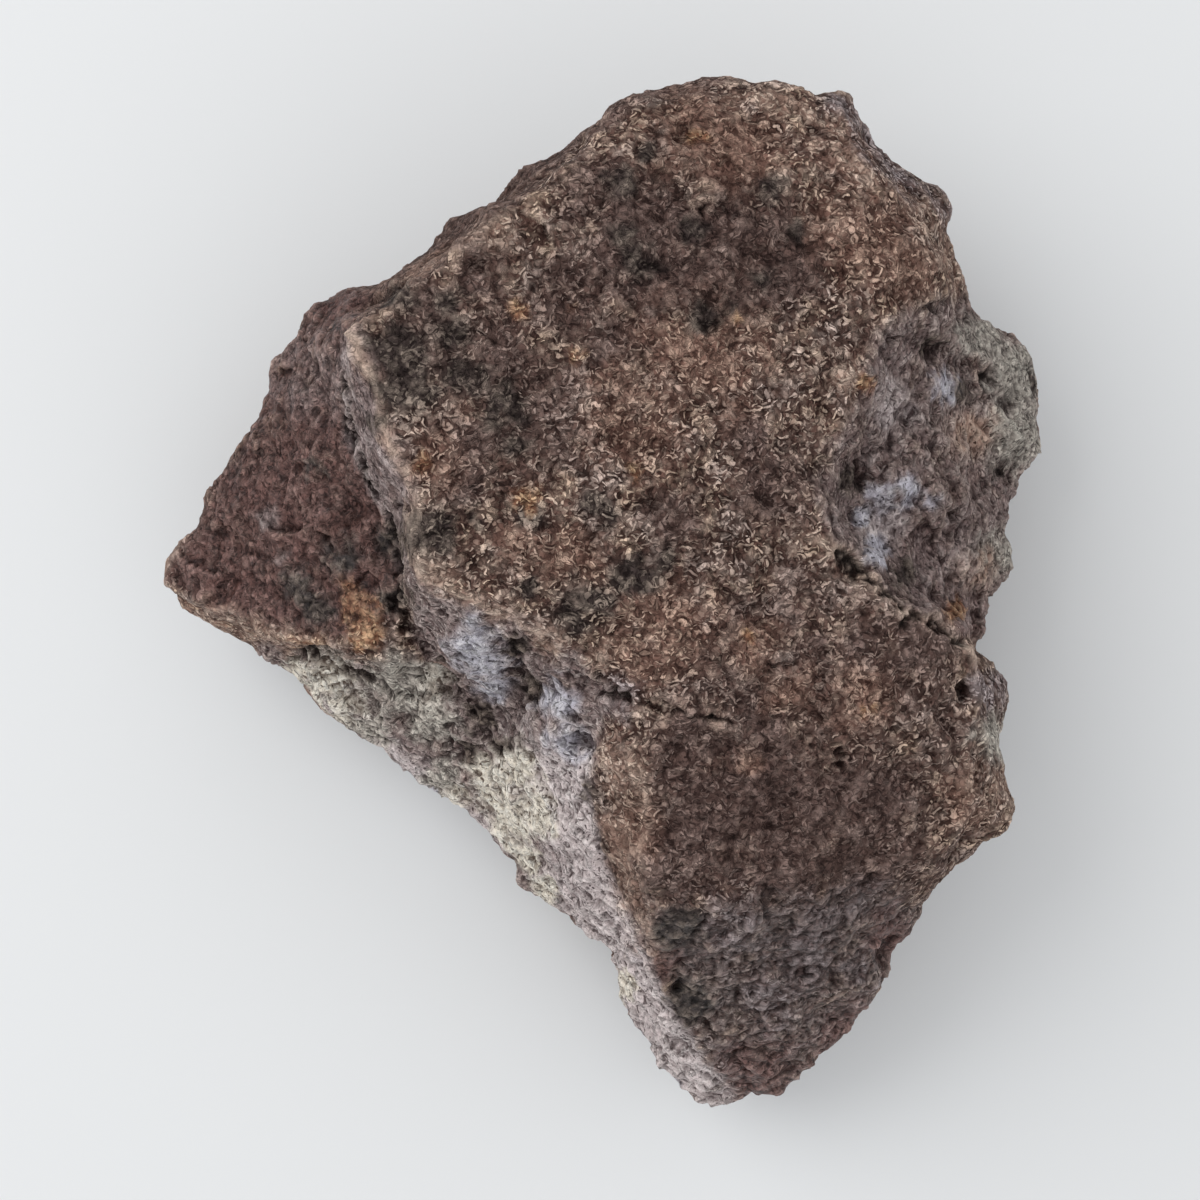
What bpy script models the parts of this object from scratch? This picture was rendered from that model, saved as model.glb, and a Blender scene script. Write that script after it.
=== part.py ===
"""A chondrite meteorite: one broken, weathered stone about 70 mm long, lying on its flattest break.

The stone is described by its break lines, as a surveyor would describe a hill: the widest outline,
the crests and feet of its ledges, and spot heights between them. These are joined with triangles,
rounded off as weathering rounds a break, and roughened with lumps, chips and pits. The underside is
drawn in the same way down to the flat break that the stone rests on.
"""

import bmesh
import bpy
from mathutils import Vector, geometry, noise

MM = 0.001

# The break lines are (x, y, height) in millimetres. x and y were read from straight above, from
# EYE_HEIGHT over the surface that the stone lies on, at the scale of a point at SCALE_HEIGHT.
EYE_HEIGHT = 236.0
SCALE_HEIGHT = 16.0

# The widest outline of the stone, clockwise from its western tip.
OUTLINE = [
    (-28.9, 1.5, 11), (-28.3, 3.5, 12), (-26.7, 5.3, 13), (-26.1, 7.3, 13), (-24.9, 8.9, 14),
    (-23.8, 11.2, 15), (-22.8, 13.3, 15), (-22.1, 15.3, 16), (-21.5, 16.8, 16), (-20.0, 18.1, 17),
    (-19.6, 19.3, 17), (-18.3, 20.1, 18), (-16.7, 20.6, 18), (-15.0, 20.9, 19), (-13.3, 22.0, 20),
    (-11.3, 23.7, 20), (-10.0, 25.2, 21), (-8.1, 26.3, 22), (-4.7, 28.8, 22), (-2.7, 30.0, 22),
    (-1.3, 31.2, 23), (0.0, 32.0, 24), (1.5, 33.3, 25), (3.7, 33.9, 25), (6.0, 34.0, 25),
    (6.7, 34.6, 26), (9.0, 34.9, 26), (12.0, 34.5, 26), (16.0, 33.9, 24), (16.9, 32.8, 22),
    (17.8, 31.3, 20), (18.0, 30.3, 19), (20.2, 29.0, 18), (22.0, 27.7, 18), (22.9, 26.7, 18),
    (23.3, 24.3, 17), (23.9, 22.5, 16), (24.5, 20.7, 15), (24.9, 19.2, 13), (26.7, 18.1, 10),
    (28.0, 17.0, 9), (29.0, 15.3, 9), (29.2, 13.3, 9), (29.5, 11.3, 9), (29.2, 9.7, 9),
    (28.1, 8.1, 9), (27.2, 7.3, 10), (26.9, 5.7, 11), (27.2, 4.3, 11), (27.7, 3.0, 11),
    (27.3, 1.7, 11), (26.3, 0.3, 12), (25.7, -1.3, 13), (25.0, -3.0, 13), (26.0, -4.0, 10),
    (27.0, -5.2, 9), (27.2, -6.5, 9), (26.7, -8.1, 9), (26.1, -9.5, 12), (26.7, -11.0, 17),
    (27.1, -13.0, 18), (26.9, -14.7, 18), (25.7, -15.9, 17), (24.0, -17.2, 16), (22.3, -19.0, 16),
    (20.7, -21.7, 15), (19.0, -23.3, 14), (18.5, -25.3, 13), (18.1, -26.9, 13), (16.7, -28.3, 12),
    (15.0, -30.0, 11), (13.3, -31.9, 10), (11.3, -33.1, 9), (9.7, -33.0, 8), (8.1, -33.9, 5),
    (6.7, -33.5, 6), (5.2, -32.3, 7), (4.0, -31.2, 8), (2.7, -29.0, 8), (1.5, -27.3, 7),
    (1.1, -25.7, 7), (1.1, -24.5, 8), (0.3, -23.5, 9), (-1.3, -22.5, 9), (-2.7, -21.0, 9),
    (-5.3, -19.0, 9), (-6.3, -17.3, 9), (-7.3, -15.9, 9), (-8.7, -13.7, 9), (-10.0, -13.3, 9),
    (-11.7, -12.2, 8), (-13.3, -11.3, 8), (-14.3, -10.3, 8), (-14.7, -9.5, 9), (-16.3, -8.5, 8),
    (-17.7, -8.1, 8), (-19.3, -7.1, 8), (-20.3, -5.9, 8), (-21.3, -4.7, 9), (-22.3, -4.7, 8),
    (-23.3, -3.7, 8), (-24.1, -2.7, 9), (-26.7, -1.0, 9), (-28.3, 0.0, 9),
]

# Lines of the upper surface. Each is one crest, foot or crack that the eye follows.
UPPER_LINES = {
    # The top plate's crest, from its western corner round the north to the eastern shoulder.
    "north_crest": [
        (-16.5, 17.7, 33), (-15.9, 18.5, 33), (-14.0, 20.0, 33), (-12.3, 21.7, 33),
        (-10.7, 22.5, 33), (-9.0, 23.5, 33), (-8.0, 24.5, 33), (-6.9, 25.9, 32.5),
        (-5.3, 26.7, 32), (-3.5, 28.1, 31.5), (-2.2, 28.8, 31), (-1.2, 30.1, 30),
        (0.1, 31.6, 28), (1.8, 32.9, 28), (3.4, 33.2, 28.5), (4.8, 33.2, 28.5), (6.7, 33.5, 28),
        (8.0, 33.9, 28), (8.9, 34.4, 27.5), (12.3, 34.0, 27.5), (15.6, 33.3, 27),
        (16.4, 31.7, 27.5), (17.1, 30.0, 28), (18.4, 28.1, 28), (19.5, 26.7, 28),
        (20.5, 24.8, 27.5), (21.7, 23.2, 26.5), (22.5, 21.3, 25), (23.3, 19.2, 22),
    ],
    # Its crest down the west and south-west, ending at the southern tip.
    "west_crest": [
        (-16.5, 17.7, 33), (-16.2, 16.0, 33.3), (-15.1, 14.3, 33.5), (-14.8, 11.7, 33.5),
        (-14.1, 10.1, 33.5), (-13.1, 8.8, 33.3), (-12.7, 7.0, 33), (-12.9, 5.0, 33),
        (-12.9, 2.7, 32.8), (-11.7, 1.3, 32.5), (-9.7, 0.2, 32.3), (-7.3, -0.8, 32),
        (-5.3, -1.7, 31.5), (-3.3, -2.7, 31), (-0.7, -3.3, 31), (1.0, -4.8, 30.5),
        (2.7, -6.7, 30), (1.5, -8.5, 29), (1.3, -10.5, 29), (2.5, -12.5, 29),
        (3.3, -14.7, 28.5), (3.3, -17.5, 28), (3.2, -20.0, 26.5), (3.0, -22.0, 24.5),
        (3.2, -24.3, 22), (4.1, -26.0, 20), (5.9, -29.0, 16.5), (7.7, -31.5, 13),
        (9.0, -32.6, 10),
    ],
    # The outer edge of the bevel beside it.
    "bevel_edge": [
        (-1.7, -11.7, 26), (-1.3, -14.3, 25), (-0.5, -16.7, 24), (0.2, -19.0, 22.5),
        (1.5, -21.3, 21.5), (2.4, -23.0, 21),
    ],
    # The lip between the plate and the eastern recess, then the crest over the small east lobe.
    "recess_lip": [
        (19.3, 18.5, 29), (18.1, 17.0, 29.5), (17.7, 14.3, 29.3), (16.8, 11.7, 29.5),
        (15.1, 10.0, 30), (14.3, 8.0, 30.5), (14.9, 6.0, 30.5), (15.7, 4.0, 30),
        (17.9, 2.3, 29.5), (20.0, 0.1, 29), (21.2, -0.9, 28), (22.7, -0.8, 27),
        (23.9, -2.1, 26.5), (24.9, -3.5, 25.5), (25.1, -5.3, 25), (25.3, -7.7, 24.5),
        (25.9, -9.5, 23), (26.2, -11.0, 22.5), (25.7, -12.7, 23), (24.3, -14.3, 23.3),
        (22.7, -16.3, 23), (21.0, -17.9, 22.5), (19.3, -19.5, 22), (18.7, -21.7, 19.5),
        (17.9, -23.7, 17.5), (17.4, -26.0, 16),
    ],
    "recess_foot": [
        (19.5, 16.8, 26.5), (19.2, 14.0, 26), (18.1, 11.3, 26), (17.6, 9.2, 24.5),
        (16.7, 7.3, 26), (16.5, 5.3, 26.5), (17.9, 3.7, 26), (19.7, 1.7, 24.5),
        (21.7, 0.2, 23), (23.3, -0.4, 21.5),
    ],
    # The low rib between the recess and the two outer lobes.
    "lobe_rib": [
        (23.7, 18.0, 20.5), (24.5, 16.0, 17), (24.5, 13.3, 17), (24.8, 11.0, 16.5),
        (25.7, 8.3, 14), (26.3, 5.7, 14), (26.5, 2.7, 13.5),
    ],
    # The break of slope where the plate turns down towards the southern tip.
    "south_break": [
        (3.2, -20.0, 26.5), (6.0, -21.0, 26), (9.3, -20.9, 26), (11.0, -19.8, 26),
        (14.0, -20.3, 25), (16.7, -19.1, 24), (19.3, -19.5, 22),
    ],
    # The foot of the western cliff, on the low shelf.
    "cliff_foot": [
        (-17.1, 17.0, 25), (-17.3, 14.8, 25), (-17.0, 12.7, 24.5), (-16.5, 10.7, 24),
        (-15.8, 8.8, 24), (-14.8, 6.9, 23.5), (-14.0, 5.3, 23), (-13.6, 3.3, 22.5),
        (-13.5, 1.7, 22), (-13.2, 0.0, 21.5), (-12.5, -1.7, 21), (-11.7, -3.0, 20),
    ],
    # The shelf's southern ridge, and the crevice under it.
    "shelf_ridge": [
        (-27.7, 0.7, 12), (-25.7, -0.7, 14), (-23.5, -1.7, 16), (-21.0, -2.5, 17.5),
        (-18.8, -3.1, 18.5), (-16.7, -3.7, 19.5), (-14.7, -4.1, 19.5), (-12.8, -4.0, 20),
    ],
    "crevice": [
        (-20.0, -3.6, 14), (-18.0, -4.5, 13.5), (-16.3, -5.2, 13.5), (-14.3, -5.6, 14.5),
        (-12.7, -5.3, 15.5), (-10.6, -4.8, 18), (-8.3, -6.0, 18.5), (-6.7, -7.0, 18.5),
    ],
    # The gully down the south-western face, between its two bulges.
    "gully": [(-5.7, -2.7, 28), (-5.3, -4.3, 24.5), (-4.9, -6.3, 22), (-6.0, -7.7, 19.5)],
    # The crack that steps across the plate.
    "plate_step": [(2.7, -6.7, 30), (4.7, -7.3, 29.6), (7.3, -7.7, 29.8), (9.3, -7.9, 29.8)],
}

# Spot heights between those lines.
UPPER_SPOTS = {
    "plate": [
        (-10.0, 16.7, 34), (-5.3, 20.7, 33), (-10.0, 10.0, 34), (-8.0, 4.0, 33.5),
        (-2.7, 1.3, 32.5), (0.0, 26.7, 31.5), (3.3, 30.7, 30), (6.7, 31.3, 29.8),
        (2.7, 22.0, 31.3), (8.0, 22.7, 30.8), (11.3, 28.7, 29.8), (13.3, 24.7, 30),
        (16.7, 24.7, 30.3), (18.7, 22.0, 29.8), (1.3, 14.7, 33), (9.3, 16.7, 31.5),
        (13.3, 14.7, 31), (6.7, 9.3, 32.3), (10.7, 5.3, 31.5), (2.7, 5.3, 33),
        (2.7, 0.0, 32), (8.0, -1.3, 31), (13.3, -1.3, 30), (17.3, -3.3, 29), (21.3, -5.3, 27.5),
        (6.0, -5.3, 30.5), (10.7, -6.7, 29.5), (16.7, -8.7, 28), (22.0, -9.3, 26),
        (6.7, -12.0, 28.5), (12.7, -13.3, 27.5), (18.7, -14.0, 26), (8.0, -17.3, 27.3),
        (13.3, -17.3, 26.5),
    ],
    "north_east_facet": [
        (19.2, 29.0, 22.5), (20.7, 26.7, 22), (21.3, 27.9, 21), (22.4, 25.9, 21), (22.9, 23.7, 20),
    ],
    "shelf": [
        (-18.0, 18.7, 21), (-15.7, 20.0, 23), (-19.3, 17.0, 20), (-20.0, 13.3, 19.5),
        (-20.7, 9.3, 19), (-18.3, 10.7, 21.5), (-17.3, 6.7, 21.5), (-23.3, 6.7, 17),
        (-20.0, 4.0, 19.5), (-25.3, 2.7, 14.5), (-22.0, 0.7, 17.5), (-17.3, 1.3, 20.5),
        (-15.3, -1.7, 21),
    ],
    "south_west_face": [
        (-8.7, -2.7, 27.5), (-10.7, -1.7, 26), (-6.7, -3.0, 26.5), (-8.0, -4.5, 24),
        (-4.0, -4.3, 28), (-2.7, -5.3, 28), (-1.0, -6.0, 28.5), (-3.3, -7.7, 26),
        (-1.7, -9.0, 26), (-4.0, -9.7, 23), (-6.7, -9.7, 17), (-8.7, -8.0, 17),
        (-10.7, -6.4, 17.5), (-8.0, -12.3, 13.5), (-5.7, -12.7, 17), (-5.0, -15.3, 15),
        (-3.3, -13.3, 20), (-2.7, -18.0, 16.5), (-1.0, -21.0, 15), (1.0, -23.0, 14),
        (2.3, -25.7, 14), (3.3, -28.0, 12.5), (5.3, -30.7, 11), (7.0, -32.5, 9),
        (-13.3, -9.7, 11.5), (-10.7, -11.0, 12), (-12.0, -8.0, 14), (-15.3, -7.5, 12),
        (-18.0, -6.3, 12.5), (-20.0, -4.7, 12.5), (8.1, -32.9, 8.5),
    ],
    "recess": [
        (21.7, 18.3, 25.5), (22.0, 15.7, 22.5), (22.3, 13.3, 22), (20.3, 11.3, 23.5),
        (19.7, 7.7, 24.5), (22.3, 7.0, 22.5), (21.7, 4.0, 21), (19.7, 4.7, 23),
        (24.0, 8.7, 19), (24.1, 3.0, 18.5), (23.0, 0.7, 19), (24.8, -0.3, 16), (25.0, 5.3, 17.5),
    ],
    "lobes": [
        (26.7, 16.7, 13.5), (27.7, 14.3, 13.5), (27.7, 11.3, 13), (27.0, 9.2, 12),
        (25.7, -4.5, 14), (26.2, -6.1, 13.5), (25.9, -8.0, 13),
    ],
    "south_slope": [
        (4.8, -24.0, 22), (8.0, -24.3, 21.5), (12.0, -24.3, 20.5), (15.3, -23.7, 19.5),
        (6.0, -27.0, 18.5), (10.0, -27.7, 17), (13.3, -27.3, 16.5), (15.9, -26.3, 16),
        (9.0, -30.5, 13.5), (12.3, -29.7, 13.5), (11.0, -32.0, 11),
    ],
}

# The underside, in true plan: a ring of corners low on the walls, and the flat break at height 0.
LOWER_RING = [
    (-26.6, 1.5, 4), (-24.0, 7.0, 4), (-20.5, 13.5, 5), (-17.5, 17.3, 6), (-12.0, 19.5, 7),
    (-7.0, 23.5, 8), (-1.5, 27.0, 9), (4.0, 29.5, 9), (10.0, 30.0, 8), (14.5, 28.5, 8),
    (18.0, 25.0, 7), (21.0, 20.0, 6), (24.5, 16.0, 4), (27.2, 12.3, 3.5), (25.0, 8.0, 4),
    (25.0, 3.0, 4.5), (22.6, -1.5, 5), (24.3, -6.0, 4), (23.6, -11.0, 7), (22.5, -14.5, 8),
    (19.3, -18.0, 7), (16.6, -23.5, 6), (15.0, -27.3, 5), (11.0, -31.2, 4), (7.7, -32.6, 2.5),
    (4.6, -29.0, 3), (3.2, -25.0, 3.5), (0.3, -21.3, 4), (-4.0, -17.6, 4), (-7.3, -13.0, 4),
    (-12.5, -10.2, 3.5), (-17.0, -7.0, 3.5), (-22.0, -3.2, 3.5),
]
RESTING_BREAK = [
    (-13.0, 0.5, 0), (-12.0, 7.0, 0), (-7.0, 12.0, 0), (0.0, 17.0, 0), (7.5, 18.0, 0),
    (13.0, 13.5, 0), (16.0, 6.0, 0), (14.5, -2.0, 0), (15.5, -9.0, 0), (11.5, -16.0, 0),
    (9.5, -22.5, 0), (6.5, -23.0, 0), (3.5, -16.5, 0), (-2.0, -9.5, 0), (-8.5, -4.5, 0),
]
# Facets between the flat break and the ring, then swellings and hollows part-way up the walls.
LOWER_SPOTS = [
    (-18.0, 3.0, 1.6), (-15.5, 10.5, 2.4), (-9.5, 15.5, 2.2), (-3.5, 20.5, 4.0), (4.0, 23.5, 3.4),
    (11.5, 23.5, 4.4), (16.5, 17.5, 2.4), (20.0, 10.5, 1.4), (19.0, 2.5, 2.6), (17.5, -4.5, 1.6),
    (19.5, -9.5, 3.6), (15.5, -15.5, 1.8), (13.5, -22.0, 2.6), (9.5, -28.0, 1.4), (5.0, -25.0, 1.2),
    (0.0, -16.5, 1.8), (-6.5, -10.5, 1.4), (-13.5, -5.5, 1.8), (-19.5, -1.5, 2.2),
    (3.8, 31.8, 15), (-2.0, 27.9, 16), (-8.3, 24.7, 13.5), (-12.8, 20.0, 13.5), (9.6, 32.4, 15.5),
    (15.4, 31.2, 14.5), (19.6, 25.6, 12.5), (23.1, 20.6, 10.5), (-25.8, 6.6, 8),
    (-21.4, 12.9, 10.5), (-19.2, 17.6, 10.5), (25.3, -13.4, 12), (21.2, -18.2, 11.5),
    (18.2, -23.0, 9.5), (16.9, -26.9, 8.5),
]

# Weathering and roughness, in millimetres. A pair is how wide a form is and how far it stands out.
TOUCHING = 0.00001
GRID = 0.75
ROUNDING = 0.5
SPREAD = 0.12
SWELL = (11.0, 0.4)
CHIPS = (5.0, 0.9)
LUMPS = (2.6, 0.34)
FLAT_BELOW = 0.75
TRIANGLES = 7600

STONE_COLOUR = (0.12, 0.09, 0.078, 1.0)
STONE_ROUGHNESS = 0.82


def clear_scene():
    for obj in list(bpy.data.objects):
        bpy.data.objects.remove(obj)


def true_plan(point):
    """A point read from above, moved to its true place: a high point lies nearer the eye's axis."""
    x, y, z = point
    shrink = (EYE_HEIGHT - z) / (EYE_HEIGHT - SCALE_HEIGHT)
    return Vector((x * shrink, y * shrink, z))


def sheet(bm, rim, lines, spots, faces_up):
    """Joins a rim, the lines inside it and its spot heights with triangles, as seen in plan."""
    verts = list(rim)
    edges = [(i, (i + 1) % len(rim)) for i in range(len(rim))]
    numbers = {}

    def number_of(point):
        key = tuple(point)
        if key not in numbers:
            numbers[key] = len(verts)
            verts.append(bm.verts.new(point))
        return numbers[key]

    for line in lines:
        ids = [number_of(point) for point in line]
        edges += list(zip(ids, ids[1:]))
    for spot in spots:
        number_of(spot)
    plan = [vert.co.xy for vert in verts]
    inside_rim = 1
    made = geometry.delaunay_2d_cdt(plan, edges, [], inside_rim, TOUCHING)
    faces, sources = made[2], made[3]
    for face in faces:
        corners = [verts[sources[i][0]] for i in face]
        bm.faces.new(corners if faces_up else corners[::-1])


def cage():
    """The closed stone as plain triangles between its break lines."""
    bm = bmesh.new()
    rim = [bm.verts.new(true_plan(point)) for point in OUTLINE]
    rim.reverse()
    upper_lines = [[true_plan(p) for p in line] for line in UPPER_LINES.values()]
    upper_spots = [true_plan(p) for group in UPPER_SPOTS.values() for p in group]
    sheet(bm, rim, upper_lines, upper_spots, faces_up=True)
    lower_lines = [[Vector(p) for p in ring + ring[:1]] for ring in (LOWER_RING, RESTING_BREAK)]
    lower_spots = [Vector(p) for p in LOWER_SPOTS]
    sheet(bm, rim, lower_lines, lower_spots, faces_up=False)
    return bm


def mesh_object(name, bm):
    mesh = bpy.data.meshes.new(name)
    bm.to_mesh(mesh)
    bm.free()
    obj = bpy.data.objects.new(name, mesh)
    bpy.context.scene.collection.objects.link(obj)
    return obj


def with_modifier(obj, name, kind, **settings):
    """Runs one modifier on an object and keeps its result as a new bmesh."""
    modifier = obj.modifiers.new(name, kind)
    for key, value in settings.items():
        setattr(modifier, key, value)
    evaluated = obj.evaluated_get(bpy.context.evaluated_depsgraph_get())
    bm = bmesh.new()
    bm.from_mesh(evaluated.to_mesh())
    evaluated.to_mesh_clear()
    bpy.data.objects.remove(obj)
    return bm


def roughness_at(point):
    """How far the surface stands out at a point: slow swells, chips that each lean their own way,
    and small lumps."""
    swell = noise.noise(point / SWELL[0]) * SWELL[1]
    place = point / CHIPS[0]
    middle = noise.voronoi(place)[1][0]
    lean = noise.noise_vector(middle * 3.7)
    chips = (place - middle).dot(lean) * CHIPS[1]
    lumps = noise.fractal(point / LUMPS[0], 0.9, 2.1, 2) * LUMPS[1]
    return swell + chips + lumps


def weathered(bm):
    """Rounds the sharp lines of the cage a little, then roughens every face but the flat break."""
    bmesh.ops.smooth_vert(
        bm, verts=bm.verts, factor=ROUNDING, use_axis_x=True, use_axis_y=True, use_axis_z=True
    )
    bm.normal_update()
    places = [(vert, vert.normal.copy(), SPREAD + roughness_at(vert.co)) for vert in bm.verts]
    for vert, normal, height in places:
        vert.co += normal * height


def flattened(bm):
    """Everything just above the resting surface is pressed onto it: the flat break."""
    for vert in bm.verts:
        if vert.co.z < FLAT_BELOW:
            vert.co.z = 0.0


def stone_material():
    material = bpy.data.materials.new("weathered_chondrite")
    material.use_nodes = True
    shader = material.node_tree.nodes["Principled BSDF"]
    shader.inputs["Base Color"].default_value = STONE_COLOUR
    shader.inputs["Roughness"].default_value = STONE_ROUGHNESS
    shader.inputs["Metallic"].default_value = 0.0
    return material


def set_on_origin(bm):
    """Brings the stone to metres, with the middle of its base at the origin."""
    low = [min(vert.co[i] for vert in bm.verts) for i in range(3)]
    high = [max(vert.co[i] for vert in bm.verts) for i in range(3)]
    middle = Vector(((low[0] + high[0]) / 2, (low[1] + high[1]) / 2, low[2]))
    bmesh.ops.translate(bm, verts=bm.verts, vec=-middle)
    bmesh.ops.scale(bm, verts=bm.verts, vec=(MM, MM, MM))


def build():
    clear_scene()
    block = mesh_object("cage", cage())
    fine = with_modifier(block, "Grid", "REMESH", mode="VOXEL", voxel_size=GRID)
    weathered(fine)
    flattened(fine)
    share = TRIANGLES / (2.0 * len(fine.faces))
    fine_stone = mesh_object("fine_stone", fine)
    stone = with_modifier(fine_stone, "Fewer", "DECIMATE", ratio=share)
    bmesh.ops.triangulate(stone, faces=stone.faces)
    flattened(stone)
    set_on_origin(stone)
    meteorite = mesh_object("meteorite", stone)
    meteorite.data.materials.append(stone_material())


build()
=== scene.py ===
"""A chondrite meteorite on a pale table, seen from straight above in soft window light."""

import bmesh
import bpy
import numpy as np
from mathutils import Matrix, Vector, noise


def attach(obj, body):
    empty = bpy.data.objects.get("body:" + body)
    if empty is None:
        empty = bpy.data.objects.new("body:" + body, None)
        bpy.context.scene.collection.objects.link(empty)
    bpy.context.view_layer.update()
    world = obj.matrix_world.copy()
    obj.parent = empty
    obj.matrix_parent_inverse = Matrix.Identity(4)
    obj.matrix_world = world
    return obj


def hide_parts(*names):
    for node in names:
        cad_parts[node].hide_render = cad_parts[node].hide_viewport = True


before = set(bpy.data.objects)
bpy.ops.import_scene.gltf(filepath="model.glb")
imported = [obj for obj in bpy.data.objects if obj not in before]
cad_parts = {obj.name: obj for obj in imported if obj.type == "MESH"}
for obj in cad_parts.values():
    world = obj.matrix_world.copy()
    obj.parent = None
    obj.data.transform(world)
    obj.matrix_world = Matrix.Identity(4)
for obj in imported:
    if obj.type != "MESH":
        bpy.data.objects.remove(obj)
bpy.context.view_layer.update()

# The stone's skin
# One broken piece of an ordinary chondrite: a dense stony mass with rusted iron grains all through
# it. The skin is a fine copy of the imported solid, on which the small lumps, chips, pits and cracks
# are raised and sunk.

MM = 0.001
SKIN_GRID = 0.25 * MM
SKIN_TRIANGLES = 197000
FACET_SEED = 5
# The eye looks straight down from here. Places on the plan are in millimetres from the point under
# the eye, at the scale of a point at SCALE_HEIGHT.
EYE = Vector((-0.4, 1.05, 236.0)) * MM
SCALE_HEIGHT = 16.0 * MM


def piece_of(name, bm):
    mesh = bpy.data.meshes.new(name)
    bm.to_mesh(mesh)
    bm.free()
    piece = bpy.data.objects.new(name, mesh)
    bpy.context.scene.collection.objects.link(piece)
    return piece


def keep_result_of(piece, kind, **settings):
    """Runs one modifier on a piece and makes its result the piece's own mesh."""
    modifier = piece.modifiers.new(kind.lower(), kind)
    for key, value in settings.items():
        setattr(modifier, key, value)
    evaluated = piece.evaluated_get(bpy.context.evaluated_depsgraph_get())
    finished = bpy.data.meshes.new_from_object(evaluated)
    piece.modifiers.clear()
    piece.data = finished


def vertex_places(piece):
    places = np.empty(len(piece.data.vertices) * 3)
    piece.data.vertices.foreach_get("co", places)
    return places.reshape(-1, 3) / MM


def vertex_normals(piece):
    normals = np.empty(len(piece.data.vertices) * 3)
    piece.data.vertex_normals.foreach_get("vector", normals)
    return normals.reshape(-1, 3)


def move_vertices(piece, places):
    piece.data.vertices.foreach_set("co", (places * MM).ravel())
    piece.data.update()


def smoothed(piece, places, passes):
    """Where the vertices lie after some passes of evening out with their neighbours."""
    edges = np.empty(len(piece.data.edges) * 2, np.int64)
    piece.data.edges.foreach_get("vertices", edges)
    a, b = edges.reshape(-1, 2).T
    count = np.bincount(edges, minlength=len(places))[:, None]
    for _ in range(passes):
        near = [
            np.bincount(a, places[b, i], len(places)) + np.bincount(b, places[a, i], len(places))
            for i in range(3)
        ]
        places = 0.5 * places + 0.5 * np.stack(near, axis=1) / count
    return places


packed = bmesh.new()
packed.from_mesh(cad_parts["meteorite"].data)
bmesh.ops.remove_doubles(packed, verts=packed.verts, dist=0.01 * MM)
stone = piece_of("stone", packed)
keep_result_of(stone, "REMESH", mode="VOXEL", voxel_size=SKIN_GRID)

# The broad shape, with its facets evened out and its crests drawn up again.
EVEN_PASSES = 7
BROAD_PASSES = 70
CREST_GAIN = 0.75
CREST_REACH = 0.5
places = smoothed(stone, vertex_places(stone), EVEN_PASSES)
move_vertices(stone, places)
normals = vertex_normals(stone)
broad = smoothed(stone, places, BROAD_PASSES)
crest = np.clip(np.sum((places - broad) * normals, axis=1), -CREST_REACH, CREST_REACH)
crest *= np.clip(normals[:, 2] * 2.0 + 0.6, 0.0, 1.0)
places = places + normals * (CREST_GAIN * crest)[:, None]
places[:, 2] = np.maximum(places[:, 2], 0.0)
move_vertices(stone, places)
normals = vertex_normals(stone)

SCALE = (EYE.z - SCALE_HEIGHT) / MM
plan = (places[:, :2] - np.array(EYE.xy) / MM) * (SCALE / (EYE.z / MM - places[:, 2]))[:, None]
facing_up = np.clip(normals[:, 2] * 3.0 + 0.9, 0.0, 1.0) * np.clip(places[:, 2] * 0.4 - 1.4, 0, 1)


def spots(*circles):
    """How much each vertex lies in soft round spots, each (x, y, radius) on the plan."""
    shade = np.zeros(len(plan))
    for x, y, radius in circles:
        away = np.hypot(plan[:, 0] - x, plan[:, 1] - y) / radius
        shade = np.maximum(shade, np.clip(1.5 - away, 0.0, 1.0))
    return shade * facing_up


def to_line(line):
    """Each vertex's distance on the plan to a line of points."""
    nearest = np.full(len(plan), np.inf)
    for start, end in zip(line, line[1:]):
        start, run = np.array(start), np.array(end) - np.array(start)
        part = np.clip((plan - start) @ run / (run @ run), 0.0, 1.0)
        nearest = np.minimum(nearest, np.hypot(*(plan - start - part[:, None] * run).T))
    return nearest


def along(line, width, anywhere=False):
    """How near each vertex is to a line of points on the plan: 1 on it, fading over its width."""
    return np.exp(-((to_line(line) / width) ** 2)) * (1.0 if anywhere else facing_up)


def inside(corners, soft, anywhere=False):
    """How much each vertex lies inside an outline on the plan, with an edge that soft."""
    within = np.zeros(len(plan), bool)
    for (x0, y0), (x1, y1) in zip(corners, corners[1:] + corners[:1]):
        crosses = (plan[:, 1] < y0) != (plan[:, 1] < y1)
        at = x0 + (plan[:, 1] - y0) * (x1 - x0) / (y1 - y0 if y1 != y0 else 1.0)
        within ^= crosses & (plan[:, 0] < at)
    depth = to_line(corners + corners[:1]) * np.where(within, 1.0, -1.0)
    return np.clip(depth / soft + 0.5, 0.0, 1.0) * (1.0 if anywhere else facing_up)


def strongest(*marks):
    return np.maximum.reduce(marks)


def cloudy(size, octaves=3, shift=0.0):
    """Cloudy unevenness of that size, from about -1 to 1, at every vertex."""
    moved = Vector((shift, shift * 1.7, -shift))
    return np.array([noise.fractal(Vector(p) / size + moved, 0.8, 2.1, octaves) for p in places])


# The same seed gives facets that lean the same way each time.
noise.seed_set(FACET_SEED)


def broken(size, shift=0.0):
    """Leaning facets of that size meeting at ridges, as on broken stone, and how near a seam is."""
    moved = Vector((shift, -shift, shift * 0.6))
    facets = np.empty(len(places))
    seams = np.empty(len(places))
    for i, p in enumerate(places):
        at = Vector(p) / size + moved
        gaps, points = noise.voronoi(at)
        lowest = 9.0
        for k in (0, 1):
            lean = noise.noise_vector(points[k] * 7.3)
            lowest = min(lowest, lean.x * 0.5 + lean.dot(at - points[k]) * 1.3)
        facets[i] = lowest
        seams[i] = gaps[1] - gaps[0]
    return facets, np.clip(seams * 3.0, 0.0, 1.0)


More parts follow.
